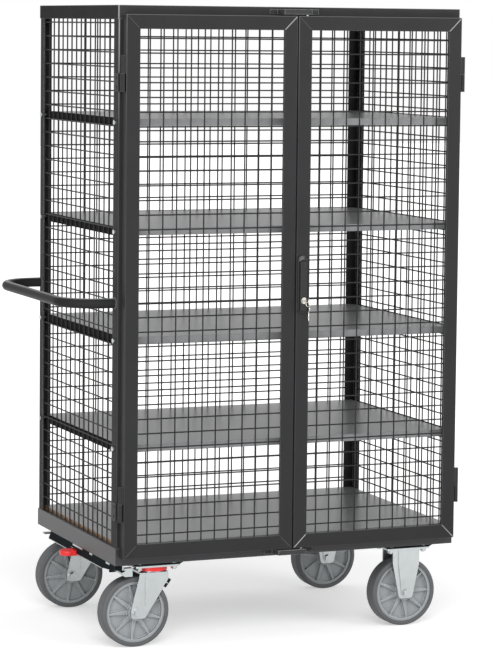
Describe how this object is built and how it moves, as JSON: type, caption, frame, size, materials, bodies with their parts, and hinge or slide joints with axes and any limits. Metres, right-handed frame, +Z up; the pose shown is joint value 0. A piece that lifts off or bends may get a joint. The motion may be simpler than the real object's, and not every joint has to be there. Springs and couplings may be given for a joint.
{
  "type": "mesh cage trolley",
  "caption": "Tall wire-mesh cage trolley with shelves, double mesh doors closed by a swing-lever rod lock, a bent push handle, swivel and fixed castors and a central brake.",
  "frame": {"origin": "on the floor, under the middle of the cage", "axes": "+Z up, -Y towards the doors, -X towards the push handle"},
  "size_m": [1.1953, 0.7852, 1.8],
  "materials": {
    "powder_coat": "satin powder coat",
    "floor_board": "grey coated board",
    "shelf_grey": "satin",
    "beam_dark": "satin",
    "zinc": "bright zinc plate",
    "bearing_steel": "ground",
    "tyre_rubber": "matt",
    "rim_plastic": "moulded",
    "lock_black": "satin",
    "nickel": "bright nickel",
    "brake_red": "gloss"
  },
  "bodies": {
    "cage": {"base_frame": "powder_coat", "roof_panel": "powder_coat", "floor_panel": "floor_board", "mesh_left": "powder_coat", "mesh_right": "powder_coat", "mesh_back": "powder_coat", "post_front_left": "powder_coat", "post_front_right": "powder_coat", "post_rear_left": "powder_coat", "post_rear_right": "powder_coat", "shelf_1": "shelf_grey", "shelf_2": "shelf_grey", "shelf_3": "shelf_grey", "shelf_4": "shelf_grey", "shelf_bars": "powder_coat", "push_handle": "powder_coat", "frame_bolts": "zinc", "hinge_brackets": "powder_coat", "rod_keepers": "powder_coat", "under_frame": "beam_dark", "fixed_axles": "zinc", "fixed_fork_front": "zinc", "fixed_fork_rear": "zinc", "swivel_plate_front": "zinc", "swivel_plate_rear": "zinc"},
    "door_left": {"door_left_frame": "powder_coat", "door_left_mesh": "powder_coat", "door_left_hinges": "powder_coat"},
    "door_right": {"door_right_frame": "powder_coat", "door_right_mesh": "powder_coat", "door_right_hinges": "powder_coat", "lock_dish": "lock_black", "rod_guides": "zinc"},
    "lock_spindle": {"lock_spindle": "lock_black"},
    "lock_lever": {"lock_lever": "lock_black", "lock_cylinder": "nickel"},
    "key": {"key": "nickel"},
    "key_ring": {"key_ring": "nickel"},
    "rod_top": {"rod_top": "zinc"},
    "rod_bottom": {"rod_bottom": "zinc"},
    "brake": {"brake_pedal": "brake_red", "brake_shaft": "zinc"},
    "castor_front": {"swivel_fork_front": "zinc", "swivel_axle_front": "zinc"},
    "brake_collar_front": {"brake_collar_front": "brake_red"},
    "castor_rear": {"swivel_fork_rear": "zinc", "swivel_axle_rear": "zinc"},
    "brake_collar_rear": {"brake_collar_rear": "brake_red"},
    "wheel_front_left": {"tyre_front_left": "tyre_rubber", "rim_front_left": "rim_plastic", "bearings_front_left": "bearing_steel"},
    "wheel_front_right": {"tyre_front_right": "tyre_rubber", "rim_front_right": "rim_plastic", "bearings_front_right": "bearing_steel"},
    "wheel_rear_left": {"tyre_rear_left": "tyre_rubber", "rim_rear_left": "rim_plastic", "bearings_rear_left": "bearing_steel"},
    "wheel_rear_right": {"tyre_rear_right": "tyre_rubber", "rim_rear_right": "rim_plastic", "bearings_rear_right": "bearing_steel"}
  },
  "joints": [
    {"name": "door_left_swing", "type": "hinge", "parent": "cage", "child": "door_left", "pos_m": [-0.519, -0.374, 1.021], "axis": [0, 0, -1], "range_deg": [0, 190]},
    {"name": "door_right_swing", "type": "hinge", "parent": "cage", "child": "door_right", "pos_m": [0.519, -0.374, 1.021], "axis": [0, 0, 1], "range_deg": [0, 230]},
    {"name": "lock_turn", "type": "hinge", "parent": "door_right", "child": "lock_spindle", "pos_m": [0.018, -0.387, 1.081], "axis": [0, -1, 0], "range_deg": [0, 90]},
    {"name": "lock_tilt", "type": "hinge", "parent": "lock_spindle", "child": "lock_lever", "pos_m": [0.018, -0.393, 1.081], "axis": [-1, 0, 0], "range_deg": [0, 35]},
    {"name": "key_turn", "type": "hinge", "parent": "lock_lever", "child": "key", "pos_m": [0.018, -0.40125, 0.976], "axis": [0, 1, 0], "range_deg": [0, 90]},
    {"name": "key_ring_swing", "type": "hinge", "parent": "key", "child": "key_ring", "pos_m": [0.018, -0.43025, 0.976], "axis": [-1, 0, 0], "range_deg": [0, 75]},
    {"name": "rod_top_slide", "type": "slide", "parent": "door_right", "child": "rod_top", "axis": [0, 0, 1], "range_m": [0, 0.012]},
    {"name": "rod_bottom_slide", "type": "slide", "parent": "door_right", "child": "rod_bottom", "axis": [0, 0, -1], "range_m": [0, 0.012]},
    {"name": "brake_press", "type": "hinge", "parent": "cage", "child": "brake", "pos_m": [-0.492, 0.02, 0.218], "axis": [0, -1, 0], "range_deg": [0, 15]},
    {"name": "brake_collar_front_slide", "type": "slide", "parent": "cage", "child": "brake_collar_front", "axis": [0, 0, -1], "range_m": [0, 0.0026]},
    {"name": "castor_front_swivel", "type": "hinge", "parent": "cage", "child": "castor_front", "pos_m": [-0.39, -0.28, 0.235], "axis": [0, 0, 1], "continuous": true},
    {"name": "brake_collar_rear_slide", "type": "slide", "parent": "cage", "child": "brake_collar_rear", "axis": [0, 0, -1], "range_m": [0, 0.0026]},
    {"name": "castor_rear_swivel", "type": "hinge", "parent": "cage", "child": "castor_rear", "pos_m": [-0.39, 0.28, 0.235], "axis": [0, 0, 1], "continuous": true},
    {"name": "wheel_front_left_spin", "type": "hinge", "parent": "castor_front", "child": "wheel_front_left", "pos_m": [-0.445, -0.28, 0.1], "axis": [0, 1, 0], "continuous": true},
    {"name": "wheel_front_right_spin", "type": "hinge", "parent": "cage", "child": "wheel_front_right", "pos_m": [0.39, -0.28, 0.1], "axis": [0, 1, 0], "continuous": true},
    {"name": "wheel_rear_left_spin", "type": "hinge", "parent": "castor_rear", "child": "wheel_rear_left", "pos_m": [-0.445, 0.28, 0.1], "axis": [0, 1, 0], "continuous": true},
    {"name": "wheel_rear_right_spin", "type": "hinge", "parent": "cage", "child": "wheel_rear_right", "pos_m": [0.39, 0.28, 0.1], "axis": [0, 1, 0], "continuous": true}
  ],
  "couplings": [
    {"joint": "rod_top_slide", "follows": "lock_turn", "m_per_rad": 0.0075},
    {"joint": "rod_bottom_slide", "follows": "lock_turn", "m_per_rad": 0.0075},
    {"joint": "brake_collar_front_slide", "follows": "brake_press", "m_per_rad": 0.0095},
    {"joint": "brake_collar_rear_slide", "follows": "brake_press", "m_per_rad": 0.0095}
  ]
}
